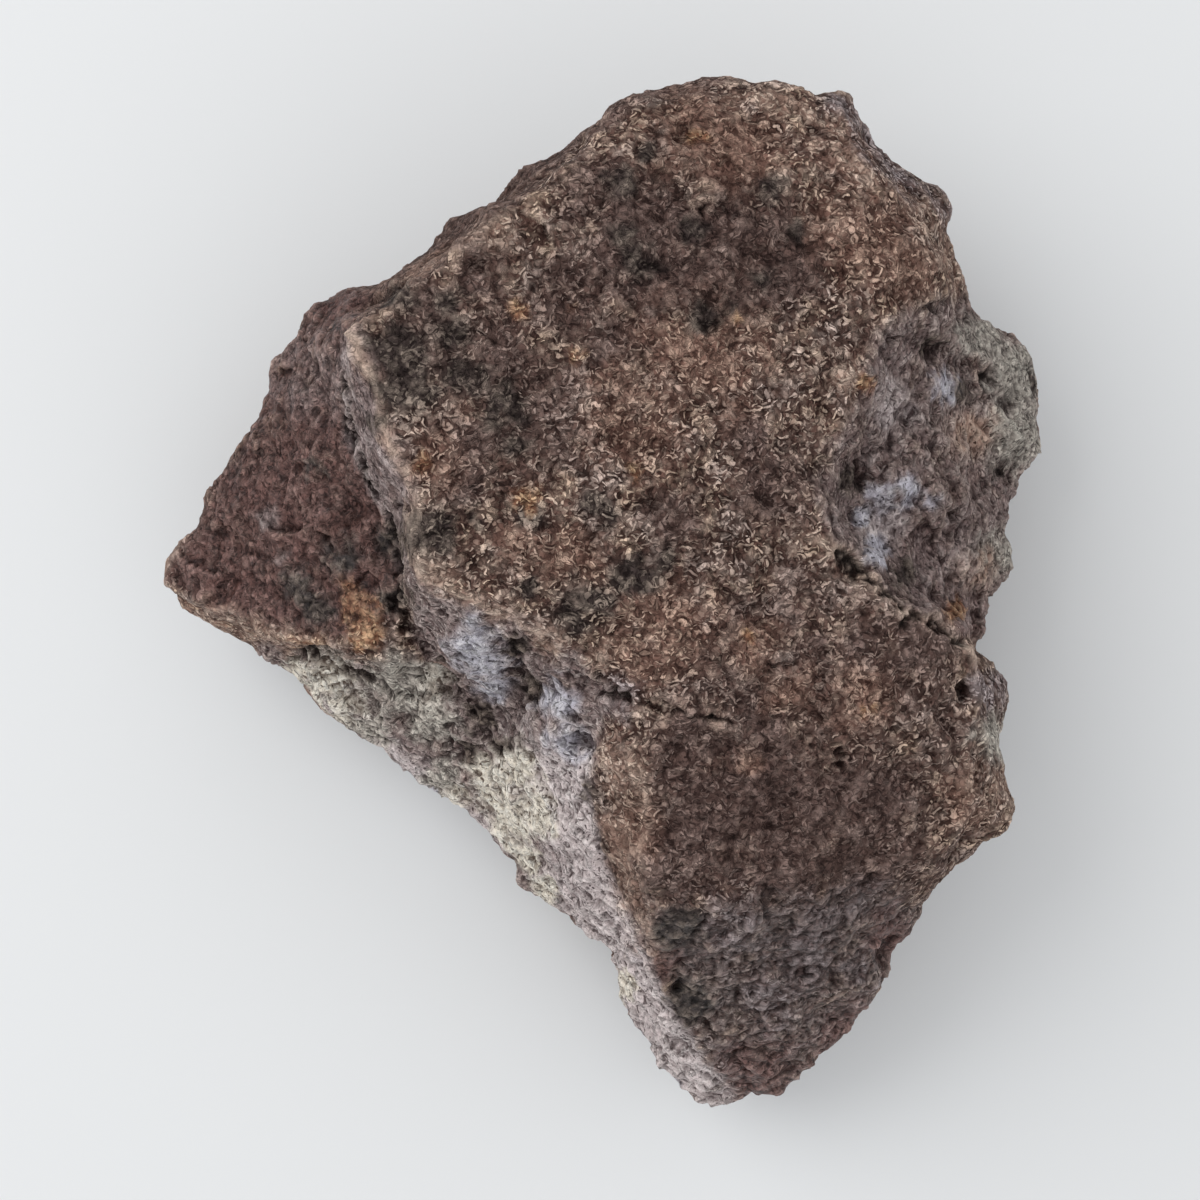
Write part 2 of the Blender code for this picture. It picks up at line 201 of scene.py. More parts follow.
def pitted(size, share, shift=0.0):
    """Small round pits: 1 at the middle of each, in that share of cells of that size."""
    moved = Vector((-shift, shift, shift * 0.3))
    depth = np.zeros(len(places))
    for i, p in enumerate(places):
        at = Vector(p) / size + moved
        gaps, points = noise.voronoi(at)
        if noise.noise(points[0] * 5.1) > 0.55 - share:
            depth[i] = max(0.0, 1.0 - gaps[0] * 2.6)
    return depth


# The low shelf on the west, maroon, below the cliff.
SHELF = [
    (-28.9, 1.5), (-26.1, 7.3), (-23.8, 11.2), (-22.1, 15.3), (-19.5, 19.5), (-16.7, 21.0),
    (-15.2, 20.3), (-16.8, 17.9), (-17.3, 14.7), (-17.0, 11.3), (-15.7, 8.0), (-14.1, 4.7),
    (-13.5, 1.3), (-13.7, -1.3), (-18.0, -2.7), (-23.3, -1.5), (-26.7, -0.5),
]
# The long broken face that falls away to the south-west.
SOUTH_WEST = [
    (-13.3, 3.5), (-11.9, 1.4), (-9.7, 0.4), (-7.3, -0.4), (-5.3, -1.4), (-3.3, -2.4),
    (-1.0, -4.2), (0.9, -6.6), (-0.2, -9.4), (-0.7, -12.0), (-0.6, -14.3), (0.0, -16.7),
    (0.8, -19.0), (2.0, -21.3), (2.9, -23.0), (3.6, -25.5), (5.0, -28.0), (7.0, -31.0),
    (9.1, -33.0), (8.0, -36.0), (4.0, -35.0), (-1.0, -28.0), (-7.0, -21.5), (-14.3, -13.5),
    (-26.5, -5.0), (-23.0, -2.7), (-21.0, -3.2), (-18.8, -3.8), (-16.7, -4.4), (-14.7, -4.7),
    (-12.8, -4.3), (-12.6, -1.5), (-13.4, 1.3),
]
# The hollow on the east, below the plate's lip.
RECESS = [
    (19.3, 18.5), (18.1, 17.0), (17.7, 14.3), (16.8, 11.7), (15.1, 10.0), (14.3, 8.0),
    (14.9, 6.0), (15.7, 4.0), (17.9, 2.3), (20.0, 0.1), (21.2, -0.9), (22.7, -0.8), (24.2, -1.8),
    (26.6, -3.0), (28.3, 0.3), (29.7, 3.0), (28.9, 5.7), (31.1, 8.1), (31.5, 11.3), (31.0, 15.3),
    (27.7, 20.0), (24.9, 20.7), (22.5, 19.9),
]
SOUTH_SLOPE = [
    (3.2, -20.0), (6.0, -21.0), (9.3, -20.9), (11.0, -19.8), (14.0, -20.3), (16.7, -19.1),
    (19.3, -19.5), (21.7, -21.7), (19.5, -25.3), (17.7, -28.3), (14.3, -33.5), (9.7, -34.5),
    (7.7, -31.5), (5.9, -29.0), (4.1, -26.0), (3.0, -22.0),
]
# The smooth wall between the shelf and the plate.
CLIFF = [
    (-17.0, 18.0), (-16.2, 18.5), (-14.9, 16.8), (-14.5, 11.9), (-12.4, 9.5), (-12.0, 7.4),
    (-13.1, 3.3), (-12.7, 1.7), (-13.8, 1.9), (-14.3, 5.0), (-15.7, 7.4), (-17.3, 10.9),
    (-17.5, 14.4), (-17.3, 16.5),
]
west_lean = np.clip((-normals[:, 0] - 0.3) * 5.0, 0.0, 1.0)
south_west_lean = np.clip((-0.75 * normals[:, 0] - 0.66 * normals[:, 1] - 0.2) * 5.0, 0.0, 1.0)
shelf = inside(SHELF, 0.8)
south_west = inside(SOUTH_WEST, 0.8) * np.maximum(0.35, south_west_lean)
recess = inside(RECESS, 1.5)
south_slope = inside(SOUTH_SLOPE, 2.5)
cliff = inside(CLIFF, 0.4) * np.maximum(0.7, west_lean)
walls = 1.0 - facing_up
plate = np.clip(1.0 - shelf - south_west - recess - south_slope - cliff - walls, 0.0, 1.0)


def by_region(on_plate, on_shelf, on_cliff, on_south_west, on_recess, on_slope, on_walls):
    strength = on_plate * plate + on_shelf * shelf + on_cliff * cliff + on_walls * walls
    return strength + on_south_west * south_west + on_recess * recess + on_slope * south_slope


# Small forms: broken facets and the seams between them, lumps, grain and pits.
facets, seams = broken(2.7)
chips, chip_seams = broken(1.2, 4.0)
relief = by_region(0.20, 0.45, 0.15, 0.50, 0.45, 0.45, 0.25) * facets
relief += by_region(0.12, 0.20, 0.06, 0.26, 0.22, 0.24, 0.10) * chips
relief -= by_region(0.02, 0.12, 0.00, 0.16, 0.08, 0.15, 0.08) * (1.0 - seams)
relief -= by_region(0.04, 0.10, 0.00, 0.12, 0.08, 0.14, 0.06) * (1.0 - chip_seams)
relief += by_region(0.12, 0.10, 0.08, 0.16, 0.12, 0.13, 0.10) * cloudy(1.1, 3, 9.0)
relief += by_region(0.07, 0.06, 0.04, 0.08, 0.07, 0.06, 0.05) * cloudy(0.55, 2, 15.0)
relief -= by_region(0.00, 0.30, 0.10, 0.45, 0.50, 0.35, 0.20) * pitted(1.6, 0.12, 2.0)
relief -= by_region(0.12, 0.20, 0.15, 0.25, 0.22, 0.22, 0.12) * pitted(0.8, 0.15, 7.0)

# Cracks, steps, creases and single pits, each (line, width, depth).
STEP_CRACK = [(0.0, -6.0), (3.3, -7.0), (7.3, -7.9), (9.0, -8.0)]
LITTLE_CRACK = [(11.3, -4.3), (12.3, -4.2), (13.3, -4.1)]
SHELF_CREVICE = [(-20.0, -3.7), (-18.7, -3.5), (-17.7, -4.3), (-16.7, -5.2), (-15.5, -5.3)]
CLIFF_FOOT = [
    (-17.3, 15.0), (-17.2, 12.7), (-16.7, 10.7), (-15.9, 8.8), (-15.0, 6.9), (-14.2, 5.3),
    (-13.8, 3.3), (-13.6, 1.7), (-13.7, 0.0), (-13.0, -1.3), (-12.6, -2.2),
]
FACE_CREVICE = [
    (-10.8, -4.4), (-10.4, -5.0), (-9.6, -5.9), (-8.8, -7.0), (-8.1, -8.3), (-7.5, -9.5),
    (-6.6, -10.1),
]
FACE_NOTCH = [(-5.9, -2.7), (-5.8, -4.0), (-5.4, -5.4), (-4.9, -6.8)]
LIP_FOOT = [(16.6, 2.6), (18.0, 1.5), (19.6, 0.2), (20.7, -1.0), (22.3, -1.3), (24.0, -2.7)]
ARC_CREASE = [(19.5, 5.7), (20.6, 6.0), (21.8, 6.3), (22.9, 6.1)]
CREASES = [
    (STEP_CRACK, 0.25, 0.5), (LITTLE_CRACK, 0.2, 0.3), (SHELF_CREVICE, 0.45, 0.9),
    (CLIFF_FOOT, 0.4, 0.7), (FACE_CREVICE, 0.35, 0.5), (FACE_NOTCH, 0.35, 0.5),
    (LIP_FOOT, 0.5, 0.8), (ARC_CREASE, 0.3, 0.12),
]
# Creases and edges wander, and run deeper in some places than in others.
WANDER = 0.55
plan = plan + np.stack([cloudy(1.3, 3, 61.0), cloudy(1.3, 3, 67.0)], axis=1) * WANDER
patches_of_depth = np.clip(0.75 + 0.9 * cloudy(0.9, 2, 71.0), 0.1, 1.3)
crease_depth = strongest(*[depth * along(line, width) for line, width, depth in CREASES])
crease_depth *= patches_of_depth
PITS = [
    (7.1, 26.0, 0.35), (-13.2, 6.2, 0.35), (17.6, 8.9, 0.4), (17.9, 8.3, 0.3), (24.3, 8.4, 0.3),
    (-9.7, -10.5, 0.6), (-10.2, -9.6, 0.4), (-5.0, -7.0, 0.6), (22.5, 19.6, 0.5),
    (19.6, 17.3, 0.4), (22.5, 16.6, 0.6), (25.7, 15.0, 0.5), (23.6, 5.3, 0.4), (17.7, 3.7, 0.2),
    (16.1, -10.5, 0.3), (5.3, -25.9, 0.5), (24.4, -5.9, 0.4),
]
BULGES = [(-8.3, -3.0, 1.9), (-2.7, -8.2, 1.7), (-11.5, -7.5, 1.2)]
PIT_DEPTH = 0.6
BULGE_HEIGHT = 0.45
relief -= crease_depth
relief -= PIT_DEPTH * spots(*PITS)
relief += BULGE_HEIGHT * spots(*BULGES)

# The stone lies on its flat base, so the relief there only goes inwards.
BASE_HEIGHT = 0.5
BASE_LEAN = -0.7
BASE_RELIEF = 0.7
flat_base = (places[:, 2] < BASE_HEIGHT) & (normals[:, 2] < BASE_LEAN)
relief = np.where(flat_base, -np.abs(relief) * BASE_RELIEF, relief)
skin = places + normals * relief[:, None]
skin[:, 2] = np.maximum(skin[:, 2], 0.0)
move_vertices(stone, skin)

# What shows where: how strongly each kind of surface shows at every vertex. A vertex counts as worn
# where it stands proud of the skin round it, and gets painted shade where it lies below.
FINE_PASSES = 3
SMALL_PASSES = 20
FINE_WEIGHT = 9.0
SMALL_WEIGHT = 2.2
LEAST_RISE = 0.15
skin_normals = vertex_normals(stone)
fine_rise = np.sum((skin - smoothed(stone, skin, FINE_PASSES)) * skin_normals, axis=1)
small_rise = np.sum((skin - smoothed(stone, skin, SMALL_PASSES)) * skin_normals, axis=1)
rise = fine_rise * FINE_WEIGHT + small_rise * SMALL_WEIGHT
mottle = cloudy(3.5, 4, 31.0)
stipple = cloudy(1.3, 3, 47.0)
drift = cloudy(9.0, 3, 20.0)


def mark(name, values):
    attribute = stone.data.attributes.new(name, "FLOAT", "POINT")
    attribute.data.foreach_set("value", np.clip(values, 0.0, 1.0).astype(np.float32))


def patchy(name, soft, ragged=0.5, edge=0.25):
    """Keeps a soft mark with a ragged, mottled edge."""
    rough = soft + ragged * (0.5 * mottle + 0.6 * stipple) * np.minimum(1.0, 4.0 * soft)
    mark(name, (rough - 0.5) / edge * 0.5 + 0.5)


# Where each kind of surface lies: lines for the crests, rims and streaks, outlines for the areas,
# and spots, each (x, y, radius).
WEST_CREST = [
    (-16.6, 18.4), (-16.0, 16.0), (-14.9, 14.3), (-14.6, 11.7), (-13.8, 10.1), (-12.8, 8.8),
    (-12.3, 7.0), (-12.7, 4.0), (-12.4, 2.4), (-11.7, 1.3), (-9.7, 0.2), (-7.3, -0.8),
    (-5.3, -1.7), (-3.3, -2.7),
]
NORTH_WEST_CREST = [(-16.3, 18.2), (-14.9, 20.3), (-11.5, 22.5), (-8.7, 24.3), (-5.5, 26.5)]
BEVEL = [(0.5, -10.0), (1.0, -13.3), (1.3, -16.7), (2.1, -20.0), (3.3, -23.3)]
LIP = [
    (14.0, 4.0), (16.0, 3.3), (17.5, 2.0), (19.0, 0.7), (20.4, -0.9), (22.4, -0.9), (23.7, -2.3),
    (25.0, -3.7),
]
VEIN = [(17.3, -12.0), (16.7, -14.0), (15.3, -17.1)]
RIM_LINE = [(1.2, -10.2), (2.1, -11.5), (2.9, -13.5), (2.9, -15.5), (2.0, -17.5)]
PALE_CHIPS = [
    [(-6.4, 22.4), (-6.3, 21.1)], [(6.5, 28.1), (6.7, 26.9)],
    [(8.8, 18.9), (9.7, 18.6), (10.9, 18.5)], [(5.6, 17.1), (6.6, 18.3)],
    [(17.7, -7.3), (18.2, -7.6)], [(-7.9, 25.1), (-6.7, 25.9)],
]
NORTH_EAST_RIM = [(21.7, 26.3), (22.7, 24.0), (23.9, 21.0)]
NORTH_RIM = [(9.0, 33.7), (12.5, 33.3), (15.0, 32.0), (16.3, 29.9), (18.1, 27.9)]
# The narrow side beyond the north-west crest.
NORTH_WEST_SIDE = [
    (-20.5, 19.5), (-17.0, 21.3), (-13.3, 23.0), (-10.0, 25.7), (-6.7, 28.3), (-4.0, 30.0),
    (0.0, 32.7), (-2.7, 29.3), (-5.7, 26.3), (-9.0, 23.7), (-11.3, 22.1), (-13.7, 20.5),
    (-16.3, 18.0),
]
strip = inside(NORTH_WEST_SIDE, 0.6, anywhere=True) * (normals[:, 2] > -0.2)
SHELF_RIM = [(-27.5, -0.3), (-25.3, -1.3), (-23.0, -2.2), (-20.5, -2.7), (-18.5, -2.9)]
FACE_FOOT = [(-2.7, -12.0), (-0.7, -18.7), (2.7, -25.3), (6.0, -31.3)]
FACE_RIM = [(-19.3, -6.0), (-14.7, -10.0), (-11.0, -12.7), (-7.0, -16.0)]
OUTER_RIM = [
    (-20.0, 20.0), (-14.0, 22.3), (-9.0, 26.7), (-4.0, 30.3), (0.0, 32.3), (2.7, 33.9), (7.7, 34.8),
]
EAST_OUTER_RIM = [(15.9, 33.3), (17.6, 31.0), (19.5, 28.9), (21.9, 27.6), (23.2, 25.7)]
DARK_NORTH = [
    (0.5, 27.5), (4.0, 26.5), (9.0, 25.5), (13.0, 26.5), (15.2, 23.0), (14.2, 19.8), (9.0, 18.8),
    (4.0, 19.0), (-0.5, 20.0), (-1.5, 23.0),
]
DARK_SOUTH = [
    (3.3, -10.3), (7.0, -9.0), (12.0, -10.0), (17.0, -10.5), (22.0, -12.0), (22.5, -17.3),
    (19.5, -20.6), (12.0, -20.8), (5.0, -20.6), (3.5, -17.0),
]
DARK_EAST = [
    (13.0, 2.5), (18.0, -0.8), (22.0, -3.0), (24.5, -6.0), (24.0, -10.0), (18.0, -10.0),
    (9.0, -8.0), (6.0, -4.0), (8.0, 0.0),
]
# Painted shade: the creases are darkened where shade falls in them, in the black kind and in the
# painted hollow shade.
painted_crease_shade = np.clip(crease_depth * 1.6, 0.0, 1.0)
sides = np.clip(drift * 1.5, 0.0, 0.65) * walls * (1.0 - strip)
patchy("dusk", strongest(
    inside(DARK_NORTH, 2.0), inside(DARK_SOUTH, 5.0), 0.65 * inside(DARK_EAST, 3.0), 0.95 * spots(
        (3.3, 24.0, 4.0), (8.0, 23.3, 4.0), (12.0, 23.0, 2.7), (9.3, -15.3, 5.7),
        (16.0, -16.7, 4.0), (5.3, -17.3, 3.3), (6.0, -9.3, 2.7), (21.7, -3.3, 2.7),
        (19.3, -16.0, 2.7), (-0.7, 27.3, 2.3), (-11.3, 18.7, 3.3), (11.0, -9.5, 3.0),
        (22.0, -0.5, 1.5), (-7.0, 16.0, 3.5), (-4.0, 11.0, 2.5), (-2.0, 20.0, 3.0),
        (-9.0, 8.0, 2.0), (14.0, -23.0, 3.0), (4.5, -23.0, 2.5), (-4.0, 14.0, 2.5),
        (-8.7, 10.7, 2.3), (12.0, 7.5, 2.5), (10.0, 11.0, 1.5), (1.0, 17.5, 2.0),
        (5.0, 5.5, 2.0), (-8.0, 22.0, 2.0),
    ),
) + 0.8 * strip + along(OUTER_RIM, 0.8, anywhere=True), 0.7, 0.5)
patchy("rust", spots(
    (6.3, 31.2, 2.7), (9.0, 30.3, 2.7), (16.7, 30.3, 2.0), (18.0, 24.7, 3.3), (15.3, 25.0, 2.0),
    (20.7, 22.0, 2.0), (6.7, 16.0, 4.0), (2.7, 12.0, 3.3), (-11.3, 9.0, 1.9), (-8.2, 12.7, 0.8),
    (4.3, -1.3, 3.0), (2.7, -4.0, 2.0), (10.7, -3.0, 1.7), (17.3, -6.7, 2.0), (12.7, -6.0, 1.7),
    (2.0, -15.3, 1.7), (24.7, -13.3, 2.0), (23.7, -0.7, 1.1), (-2.0, 2.7, 2.0),
    (-5.3, 3.3, 1.7), (24.8, 8.1, 0.7), (9.9, -10.8, 0.8),
), 0.8, 0.6)
# Along the crests, lip and rims the tan is partly the stone's worn colour and partly a painted
# highlight.
patchy("tan", strongest(
    1.1 * along(WEST_CREST, 0.5), 0.7 * along(NORTH_WEST_CREST, 0.4), 0.75 * along(BEVEL, 1.0),
    0.9 * along(LIP, 0.35), 0.5 * along(RIM_LINE, 0.2), 0.85 * along(SHELF_RIM, 0.6),
    0.9 * along(NORTH_EAST_RIM, 0.6), 0.9 * along(NORTH_RIM, 0.5),
    0.95 * spots(
        (-21.0, -2.9, 0.9), (-23.0, -2.2, 1.1), (-25.0, -1.5, 1.0), (-26.8, -0.7, 0.8),
        (-6.7, 24.5, 1.2), (-3.3, -2.7, 1.2), (-10.7, 1.3, 1.2), (0.0, -3.3, 0.9),
        (1.3, -17.0, 0.8), (2.3, -11.0, 0.6), (26.3, -13.0, 1.5), (25.0, 11.0, 1.6),
        (25.3, 2.0, 1.5), (16.7, 14.5, 1.0),
    ),
    0.5 * walls * np.clip(-drift * 2.0, 0.0, 1.0),
), 0.9, 0.7)
patchy("maroon", strongest(
    0.85 * shelf, walls * np.clip(-drift * 1.5 + 0.1, 0.0, 0.8), 0.9 * spots(
        (22.0, 4.0, 1.2), (10.7, -31.7, 2.6), (17.6, 8.8, 1.0), (25.0, -1.0, 1.2),
        (17.3, -29.5, 2.2), (4.0, -24.5, 1.2), (15.5, -31.0, 1.8), (19.5, -22.5, 1.5),
    ),
), 0.5, 0.5)
patchy("slate", strongest(
    0.55 * south_slope, along(EAST_OUTER_RIM, 0.9, anywhere=True), spots(
        (26.0, -6.0, 1.4), (1.2, -6.5, 1.4), (9.3, -22.0, 2.5), (14.0, -23.5, 2.2),
        (15.0, -21.3, 1.6), (11.0, -27.0, 3.0), (9.0, -31.0, 1.8), (17.0, -25.0, 1.5),
    ),
), 0.9, 0.6)
patchy("mauve", strongest(
    cliff, south_west, 0.75 * recess, 0.95 * spots((21.9, 3.5, 1.5)),
    0.55 * spots((-19.0, 15.0, 2.5)), 0.8 * spots(
        (-16.8, 14.5, 0.6), (-16.2, 12.0, 0.7), (-22.3, 5.3, 0.6), (-15.3, 9.0, 0.6),
        (-21.0, 2.7, 0.5),
    ),
), 0.6, 0.5)
patchy("pale", strongest(
    south_west * strongest(1.3 * along(FACE_FOOT, 3.2), along(FACE_RIM, 1.0)), 0.2 * cliff,
    0.6 * spots((25.5, 11.0, 1.6), (25.0, 2.5, 1.5), (20.0, 13.0, 1.5), (19.0, 5.0, 1.5)),
), 0.6, 0.5)
patchy("patina", strongest(
    sides, spots((-8.3, -3.2, 1.6), (-7.3, -5.0, 1.4), (-2.7, -6.7, 1.4), (-2.3, -9.3, 1.3)),
    0.9 * spots((23.0, 14.2, 1.0), (18.7, 3.5, 0.8)), 0.75 * spots(
        (18.7, 6.8, 1.0), (20.7, 7.1, 0.9), (17.5, 5.5, 0.5), (18.5, 2.9, 0.7), (22.3, 6.5, 0.6),
    ),
), 0.8, 0.4)
patchy("cream", spots(
    (-6.7, -12.0, 2.3), (-5.3, -14.5, 2.0), (-8.3, -11.3, 1.2), (-5.0, -17.3, 1.0),
    (-18.5, -5.7, 1.8), (-20.3, -4.8, 1.0), (-17.0, -7.6, 1.2), (-11.8, -6.0, 1.4),
    (1.3, -25.7, 0.9), (-3.7, -19.3, 0.9), (-9.5, -13.3, 1.0),
), 0.9, 0.35)
patchy("green", spots(
    (27.7, 15.0, 2.2), (28.0, 11.0, 2.4), (26.7, 3.0, 1.6), (-13.3, -6.0, 2.2), (-11.3, -8.3, 1.8),
    (-15.3, -8.7, 1.5), (-10.7, -12.0, 1.2), (26.3, -9.3, 1.3), (25.3, 17.5, 1.5),
), 0.7, 0.4)
# The black kind also takes the painted crease shade, besides its own black spots.
patchy("black", strongest(0.7 * painted_crease_shade, 1.05 * spots(
    (-13.0, 14.0, 2.0), (-13.7, 17.3, 1.9), (-9.7, 17.7, 1.5), (-13.3, 20.0, 1.2),
    (-10.0, 20.0, 1.0), (-6.3, 13.0, 1.7), (-8.0, 14.3, 1.1), (-11.3, 4.3, 1.9), (-8.0, 5.3, 0.9),
    (-4.7, 6.0, 1.1), (-0.7, 6.7, 0.9), (-5.0, 0.7, 0.9), (-1.2, -0.7, 1.9), (2.3, 1.9, 1.5),
    (4.3, 2.7, 0.9), (2.7, 22.5, 1.3), (6.7, 19.0, 1.1), (9.0, 19.7, 0.8), (1.3, 27.7, 0.9),
    (11.3, 27.5, 0.9), (3.3, 30.0, 0.8), (5.3, -22.0, 1.5), (6.0, -26.7, 1.5), (-9.0, -10.3, 0.8),
    (-8.0, -8.0, 1.1), (-6.7, -9.7, 0.8), (-5.0, -6.0, 0.9), (-5.7, -3.0, 0.7), (-19.0, -0.7, 1.1),
    (-14.0, 3.7, 1.2), (-13.7, 0.0, 1.1), (16.7, 8.0, 0.8), (22.3, 17.0, 0.8), (24.3, 14.0, 0.8),
    (25.7, 15.2, 0.5), (27.3, 13.0, 0.35), (28.9, 14.7, 0.35), (26.7, 8.7, 0.4),
    (-0.7, -12.7, 0.7), (20.3, 1.7, 0.8), (-20.5, 1.0, 1.0), (-17.5, 3.0, 1.2), (-19.0, 9.0, 0.7),
    (-9.3, 15.3, 1.2), (-15.0, 12.0, 0.8), (0.7, 5.5, 0.9), (6.0, 24.5, 1.0), (10.5, 21.5, 1.0),
    (1.5, 24.3, 0.9), (13.0, 24.5, 0.8), (-5.5, 10.3, 0.9),
)), 0.9, 0.35)
patchy("ochre", strongest(0.2 * along(SHELF_RIM, 0.6), spots(
    (-15.9, -1.1, 1.2), (-16.7, 0.6, 0.8), (-15.3, -2.5, 1.0), (-4.8, 7.0, 0.8), (-1.5, 16.0, 0.4),
    (23.7, -0.5, 0.7), (-11.9, 9.2, 0.6), (-5.5, 19.3, 0.5), (-1.8, 19.6, 0.4), (2.2, 8.8, 0.4),
    (9.3, 18.7, 0.4), (17.9, -7.5, 0.4), (6.5, 31.0, 0.5), (17.6, 14.2, 0.6), (9.8, -2.6, 0.4),
)), 0.9)

# How the finish varies over the kinds: calm where few flakes show, gritty where it shines a little,
# a painted highlight along the sharpest edges, and painted shade in what is sunk.
CALM = [
    (7.0, 22.0, 5.0), (6.0, 30.0, 4.0), (12.0, -14.0, 6.0), (22.0, 4.0, 3.0), (-20.0, 6.0, 6.0),
    (0.7, -18.7, 3.0), (3.0, -26.0, 3.0), (-5.5, 22.0, 2.5), (3.0, 27.0, 3.0), (11.0, 24.0, 4.0),
]
mark("calm", strongest(spots(*CALM), strip, 0.7 * cliff))
mark("grit", south_slope + 0.8 * shelf)
mark("worn", rise - LEAST_RISE)
# Painted shade: darker where the skin lies below the skin round it, and in the creases.
mark("painted_hollow_shade", 0.9 * painted_crease_shade - rise - LEAST_RISE)
mark("warm", cloudy(1.7, 3, 83.0) * 0.9 + 0.45)
flaky = by_region(1.0, 0.35, 0.20, 0.60, 0.45, 0.45, 0.40)
mark("flecked", flaky * (cloudy(1.4, 3, 91.0) * 0.6 + 0.75))
pale_chips = [along(chip, 0.22) for chip in PALE_CHIPS]
# Painted highlight: thin light lines along the lip, the rim line and the west crest; the pale vein
# and the pale chips are the stone's own colour.
mark("edge", np.clip(0.7 + stipple, 0.0, 1.0) * strongest(
    along(LIP, 0.22), 0.4 * along(RIM_LINE, 0.2), 0.5 * along(VEIN, 0.16),
    0.7 * along(WEST_CREST, 0.2), *pale_chips,
))
mark("mottle", drift * 0.35 + mottle * 0.5 + stipple * 0.35 + 0.5)

keep_result_of(stone, "DECIMATE", ratio=SKIN_TRIANGLES / (2.0 * len(stone.data.polygons)))
stone.data.shade_smooth()

# The stone's finish
# Weathered stone, rusted brown: thin tan flakes and black grains a few tenths of a millimetre
# across, over dusky, maroon, black, blue-grey and cream patches where it broke at different times.


def paint(red, green, blue):
    """A colour given as 0 to 255, as a paint chart has it, made linear."""
    return [((value / 255.0 + 0.055) / 1.055) ** 2.4 for value in (red, green, blue)] + [1.0]


tree = bpy.data.node_groups.new("platy_flakes", "ShaderNodeTree")


def add(kind, inputs=None, **settings):
    """Adds a node, sets it and joins its inputs: by name or number, to a socket or a value."""
    node = tree.nodes.new(kind)
    for key, value in settings.items():
        setattr(node, key, value)
    for key, value in (inputs or {}).items():
        if isinstance(value, bpy.types.NodeSocket):
            tree.links.new(value, node.inputs[key])
        else:
            node.inputs[key].default_value = value
    return node


def sum_up(operation, a, b=0.0, clamp=False):
    return add("ShaderNodeMath", {0: a, 1: b}, operation=operation, use_clamp=clamp).outputs[0]


def ramp(value, low, high, top=1.0):
    """0 at low and top at high, smooth between."""
    inputs = {"Value": value, "From Min": low, "From Max": high, "To Max": top}
    return add("ShaderNodeMapRange", inputs, interpolation_type="SMOOTHSTEP").outputs["Result"]


def blend(share, under, over):
    inputs = {0: share, 6: under, 7: over}
    return add("ShaderNodeMix", inputs, data_type="RGBA").outputs[2]


def attribute(name):
    return add("ShaderNodeAttribute", attribute_name=name).outputs["Fac"]


# Thin platy flakes, each lying its own way in a cell of its own. The stone's surface cuts through
# them, so that each shows as a short sliver or a chip, with a gap along one side that the bump
# sinks and that is painted dark as the flake's shadow.
tree.interface.new_socket(name="Place", in_out="INPUT", socket_type="NodeSocketVector")
for name, value in {"Per mm": 1.5, "Reach": 0.3, "Thick": 0.06, "Share": 0.7}.items():
    made = tree.interface.new_socket(name=name, in_out="INPUT", socket_type="NodeSocketFloat")
    made.default_value = value
for name in ("Flake", "Gap with shadow", "Tint", "Tone", "Facet", "Corner"):
    tree.interface.new_socket(name=name, in_out="OUTPUT", socket_type="NodeSocketFloat")
given = add("NodeGroupInput").outputs
cells = add("ShaderNodeTexVoronoi", {"Vector": given["Place"], "Scale": given["Per mm"]}).outputs
chance = add("ShaderNodeTexWhiteNoise", {"Vector": cells["Position"]}).outputs
lean = add("ShaderNodeVectorMath", {0: chance["Color"], 1: (0.5, 0.5, 0.5)}, operation="SUBTRACT")
lean = add("ShaderNodeVectorMath", {0: lean.outputs[0]}, operation="NORMALIZE").outputs[0]
off = add("ShaderNodeVectorMath", {0: given["Place"], 1: cells["Position"]}, operation="SUBTRACT")
across = add("ShaderNodeVectorMath", {0: off.outputs[0], 1: lean}, operation="DOT_PRODUCT")
across = across.outputs["Value"]
away = add("ShaderNodeVectorMath", {0: off.outputs[0]}, operation="LENGTH").outputs["Value"]
thin = sum_up("MULTIPLY", given["Thick"], 0.6)
within = ramp(away, given["Reach"], sum_up("MULTIPLY", given["Reach"], 0.75))
shown = sum_up("MULTIPLY", within, sum_up("LESS_THAN", chance["Value"], given["Share"]))
flake = ramp(sum_up("ABSOLUTE", across), given["Thick"], thin)
# Painted shadow: a dark sliver beside each flake, as if the flake cast it; the bump also sinks it.
beside = sum_up("SUBTRACT", across, sum_up("MULTIPLY", given["Thick"], 1.7))
gap_with_shadow = ramp(sum_up("ABSOLUTE", beside), given["Thick"], thin)
add("NodeGroupOutput", {
    "Flake": sum_up("MULTIPLY", flake, shown), "Gap with shadow": sum_up("MULTIPLY", gap_with_shadow, shown),
    "Tint": sum_up("DIVIDE", chance["Value"], given["Share"], clamp=True),
    "Tone": add("ShaderNodeSeparateColor", {0: cells["Color"]}).outputs[0],
    "Facet": across, "Corner": ramp(cells["Distance"], 0.5, 0.8),
})
FLAKES = tree

finish = bpy.data.materials.new("weathered_chondrite")
finish.use_nodes = True
tree = finish.node_tree
shader = tree.nodes["Principled BSDF"]

in_metres = add("ShaderNodeTexCoord").outputs["Object"]
place = add("ShaderNodeVectorMath", {0: in_metres, "Scale": 1.0 / MM}, operation="SCALE").outputs[0]
bend = add("ShaderNodeTexNoise", {"Vector": place, "Scale": 1.6, "Detail": 1.0}).outputs["Color"]
bend = add("ShaderNodeVectorMath", {0: bend, "Scale": 0.6}, operation="SCALE").outputs[0]
bent_place = add("ShaderNodeVectorMath", {0: place, 1: bend}, operation="ADD").outputs[0]


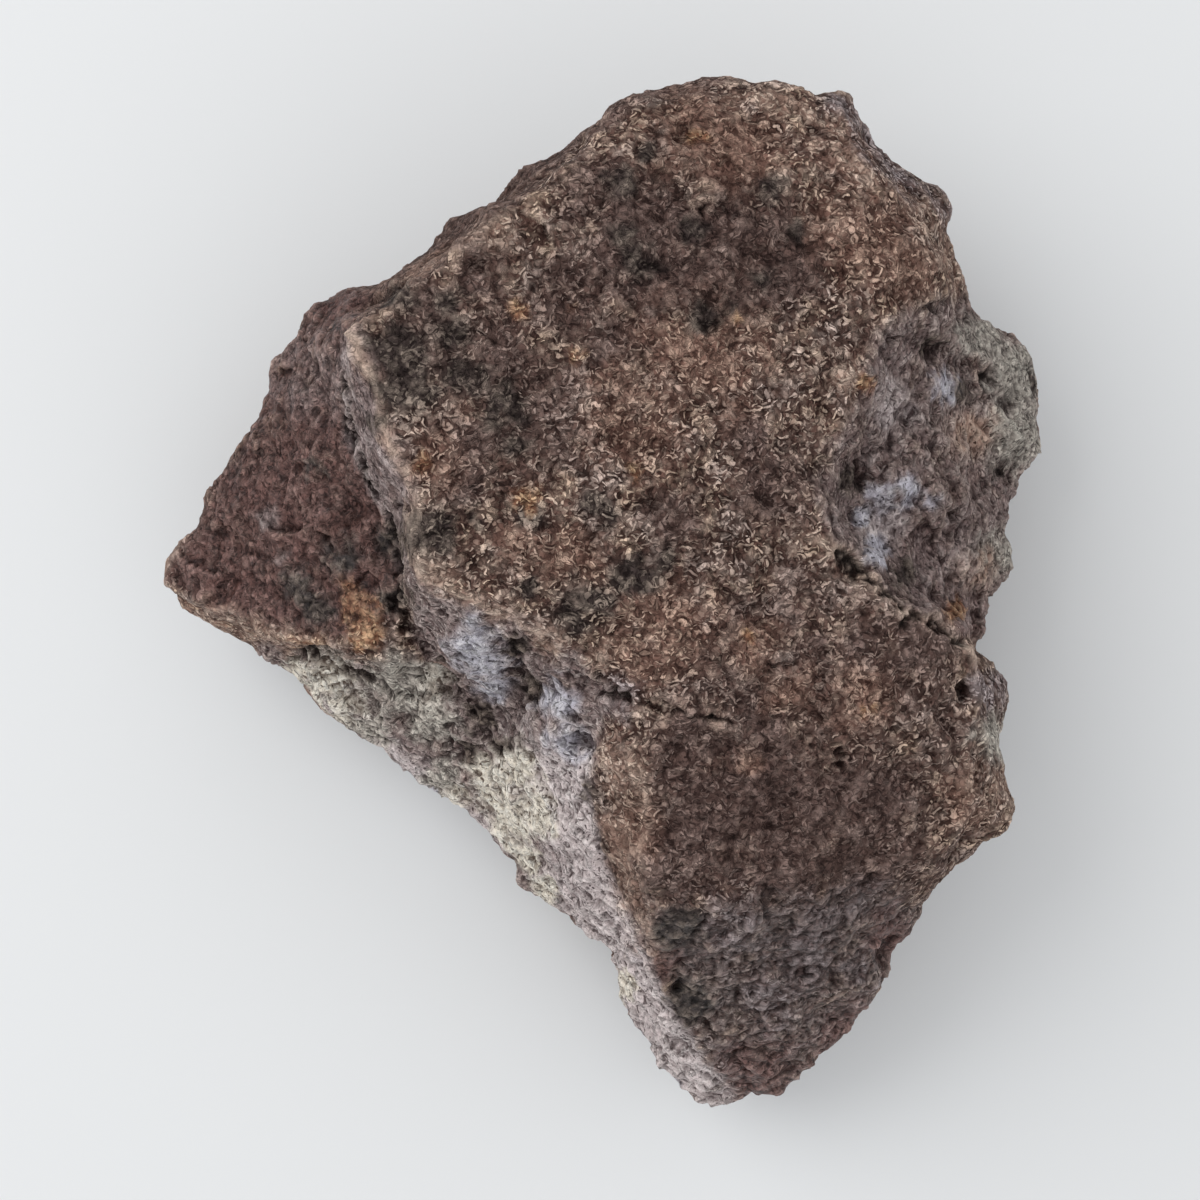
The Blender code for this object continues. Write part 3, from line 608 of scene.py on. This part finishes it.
def scatter(per_mm, reach, thick, share):
    inputs = {"Place": bent_place, "Per mm": per_mm, "Reach": reach, "Thick": thick, "Share": share}
    return add("ShaderNodeGroup", inputs, node_tree=FLAKES).outputs


def swirl(per_mm, detail, twist):
    """Streaky noise, bent round on itself."""
    inputs = {
        "Vector": place, "Scale": per_mm, "Detail": detail, "Roughness": 0.6, "Distortion": twist,
    }
    return add("ShaderNodeTexNoise", inputs).outputs["Fac"]


worn, painted_hollow_shade, grit, calm = [attribute(n) for n in ("worn", "painted_hollow_shade", "grit", "calm")]
mottle_mark = attribute("mottle")

# Each kind of surface has a colour for its hollows, its ground and its light flakes. The hollow
# colour serves both for dark grains and for painted shade in gaps, creases and sunk spots.
warm = attribute("warm")
hollow = blend(mottle_mark, paint(14, 5, 3), paint(22, 10, 7))
cool_ground = blend(mottle_mark, paint(58, 43, 40), paint(95, 73, 67))
warm_ground = blend(mottle_mark, paint(72, 45, 39), paint(112, 76, 66))
ground = blend(warm, cool_ground, warm_ground)
light = blend(warm, paint(234, 210, 198), paint(255, 222, 190))
SURFACES = {
    "dusk": [(18, 9, 9), (76, 59, 57), (164, 136, 129)],
    "rust": [(46, 26, 20), (128, 94, 82), (220, 180, 156)],
    "slate": [(20, 10, 11), (84, 67, 69), (226, 211, 213)],
    "maroon": [(26, 10, 10), (100, 62, 59), (178, 136, 130)],
    "mauve": [(40, 28, 30), (150, 131, 129), (226, 210, 206)],
    # Painted light: the pale, patina, cream and green kinds are light colours of the stone's own,
    # painted lighter still to stand in for the light falling on the south-west face.
    "pale": [(84, 70, 70), (222, 209, 208), (252, 244, 242)],
    "patina": [(46, 40, 48), (196, 195, 208), (250, 250, 255)],
    "cream": [(96, 78, 66), (255, 246, 228), (255, 255, 246)],
    "green": [(40, 37, 36), (196, 188, 178), (255, 250, 236)],
    "tan": [(60, 38, 32), (176, 144, 128), (246, 220, 200)],
    "black": [(18, 10, 9), (72, 61, 58), (204, 184, 168)],
    "ochre": [(46, 24, 18), (160, 112, 86), (255, 214, 172)],
}
for name, tones in SURFACES.items():
    shows = attribute(name)
    hollow, ground, light = [
        blend(shows, under, paint(*over)) for under, over in zip((hollow, ground, light), tones)
    ]

large = scatter(1.45, 0.40, 0.09, 0.8)
small = scatter(2.8, 0.22, 0.065, 0.9)
specks = swirl(2.8, 1.0, 0.0)
grain = swirl(1.2, 3.0, 0.5)
bright = sum_up("MULTIPLY", large["Flake"], ramp(large["Tint"], -0.2, 0.9))
bright_small = sum_up("MULTIPLY", small["Flake"], ramp(small["Tint"], 0.0, 1.1))
flakes = sum_up("MAXIMUM", bright, bright_small)
gaps = sum_up("MAXIMUM", large["Gap with shadow"], sum_up("MULTIPLY", small["Gap with shadow"], 0.8))
corners = sum_up("MAXIMUM", sum_up("MULTIPLY", large["Corner"], 0.8), small["Corner"])
# Dips: dark grains, corners and specks of the stone's own colour, and the painted shadows beside the
# flakes.
dips = sum_up("MAXIMUM", sum_up("MULTIPLY", gaps, 0.75), sum_up("MULTIPLY", corners, 0.45))
dips = sum_up("MAXIMUM", dips, ramp(specks, 0.40, 0.30, 0.8))
dips = sum_up("MAXIMUM", dips, ramp(grain, 0.42, 0.30, 0.7))
# On the light kinds the dips are fewer and sharper.
crisp = sum_up("MAXIMUM", attribute("cream"), attribute("patina"))
crisp = sum_up("MAXIMUM", attribute("pale"), crisp)
fewer_dips = sum_up("MULTIPLY", ramp(dips, 0.50, 0.85), crisp)
dips = sum_up("ADD", sum_up("MULTIPLY", dips, sum_up("SUBTRACT", 1.0, crisp)), fewer_dips)
tone = sum_up("ADD", sum_up("MULTIPLY", large["Tone"], 0.5), sum_up("MULTIPLY", small["Tone"], 0.5))
fewer = sum_up("ADD", sum_up("MULTIPLY", attribute("black"), 0.4), sum_up("MULTIPLY", calm, 0.4))
fewer = sum_up("ADD", fewer, sum_up("MULTIPLY", attribute("dusk"), 0.3))
kept = sum_up("SUBTRACT", ramp(attribute("flecked"), 0.0, 1.0), fewer, clamp=True)
colour = blend(ramp(tone, 0.45, 0.05, 0.7), ground, hollow)
lit = sum_up("MULTIPLY", kept, 0.65)
lit = sum_up("MULTIPLY", ramp(tone, 0.5, 0.95, 0.8), sum_up("ADD", lit, 0.35))
colour = blend(lit, colour, light)
# Painted shadow beside the flakes, with the dark grains of the stone's own colour.
colour = blend(dips, colour, hollow)
colour = blend(sum_up("MULTIPLY", flakes, kept), colour, light)
# Painted highlight along the sharpest edges, with the pale vein and chips.
colour = blend(sum_up("MULTIPLY", attribute("edge"), 0.75), colour, light)
colour = blend(sum_up("MULTIPLY", worn, 0.4), colour, light)
# Painted shade in hollows and creases.
colour = blend(sum_up("MULTIPLY", painted_hollow_shade, 0.85), colour, hollow)
tree.links.new(colour, shader.inputs["Base Color"])
shader.inputs["Specular IOR Level"].default_value = 0.08
shader.inputs["Coat Roughness"].default_value = 0.35
gloss = sum_up("ADD", sum_up("MULTIPLY", grit, 0.5), sum_up("MULTIPLY", attribute("patina"), 0.5))
bare = sum_up("SUBTRACT", 1.0, sum_up("MAXIMUM", dips, painted_hollow_shade))
tree.links.new(sum_up("MULTIPLY", gloss, bare, clamp=True), shader.inputs["Coat Weight"])

dull = sum_up("SUBTRACT", 0.8, sum_up("MULTIPLY", grit, 0.3))
dull = sum_up("SUBTRACT", dull, sum_up("MULTIPLY", attribute("patina"), 0.2))
tree.links.new(dull, shader.inputs["Roughness"])

height = sum_up("SUBTRACT", sum_up("MULTIPLY", flakes, 0.5), sum_up("MULTIPLY", dips, 0.6))
leaning = sum_up("MULTIPLY", sum_up("ADD", large["Facet"], small["Facet"]), 1.4)
height = sum_up("ADD", height, sum_up("ADD", leaning, sum_up("MULTIPLY", grain, 1.5)))
bump = add("ShaderNodeBump", {"Height": height, "Strength": 1.0, "Distance": 0.35 * MM})
tree.links.new(bump.outputs[0], shader.inputs["Normal"])

stone.data.materials.clear()
stone.data.materials.append(finish)
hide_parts("meteorite")
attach(stone, "root")

# The table
# A plain pale top, matt, wider than any view of the stone takes in.

TABLE_HALF_WIDTH = 1.5
table_top = bmesh.new()
bmesh.ops.create_grid(table_top, x_segments=1, y_segments=1, size=TABLE_HALF_WIDTH)
table = piece_of("table", table_top)
table_paint = bpy.data.materials.new("pale_table")
table_paint.use_nodes = True
table_shader = table_paint.node_tree.nodes["Principled BSDF"]
table_shader.inputs["Base Color"].default_value = (0.80, 0.81, 0.81, 1.0)
table_shader.inputs["Roughness"].default_value = 0.8
table.data.materials.append(table_paint)

# The light
# Soft daylight from all round, stronger from a window on the upper left.

ROOM_LIGHT = 0.83
WINDOW_POWER = 1.0
WINDOW_WIDTH = 0.45
WINDOW_CENTRE = (-0.32, 0.18, 0.40)
room = bpy.data.worlds.new("room")
room.use_nodes = True
room.node_tree.nodes["Background"].inputs["Color"].default_value = (0.97, 0.98, 1.0, 1.0)
room.node_tree.nodes["Background"].inputs["Strength"].default_value = ROOM_LIGHT
bpy.context.scene.world = room
window = bpy.data.lights.new("window", "AREA")
window.shape = "DISK"
window.size = WINDOW_WIDTH
window.energy = WINDOW_POWER
window_place = bpy.data.objects.new("window", window)
window_place.location = WINDOW_CENTRE
window_place.rotation_euler = (-window_place.location).to_track_quat("-Z", "Y").to_euler()
bpy.context.scene.collection.objects.link(window_place)
bpy.context.scene.view_settings.view_transform = "Standard"

# The camera
# Straight above the stone, looking down, with the broad end at the top of the picture.

camera = bpy.data.cameras.new("camera")
camera.sensor_width = 36.0
camera.lens = 99.0
camera.clip_start = 0.01
camera_place = bpy.data.objects.new("camera", camera)
camera_place.location = EYE
bpy.context.scene.collection.objects.link(camera_place)
bpy.context.scene.camera = camera_place
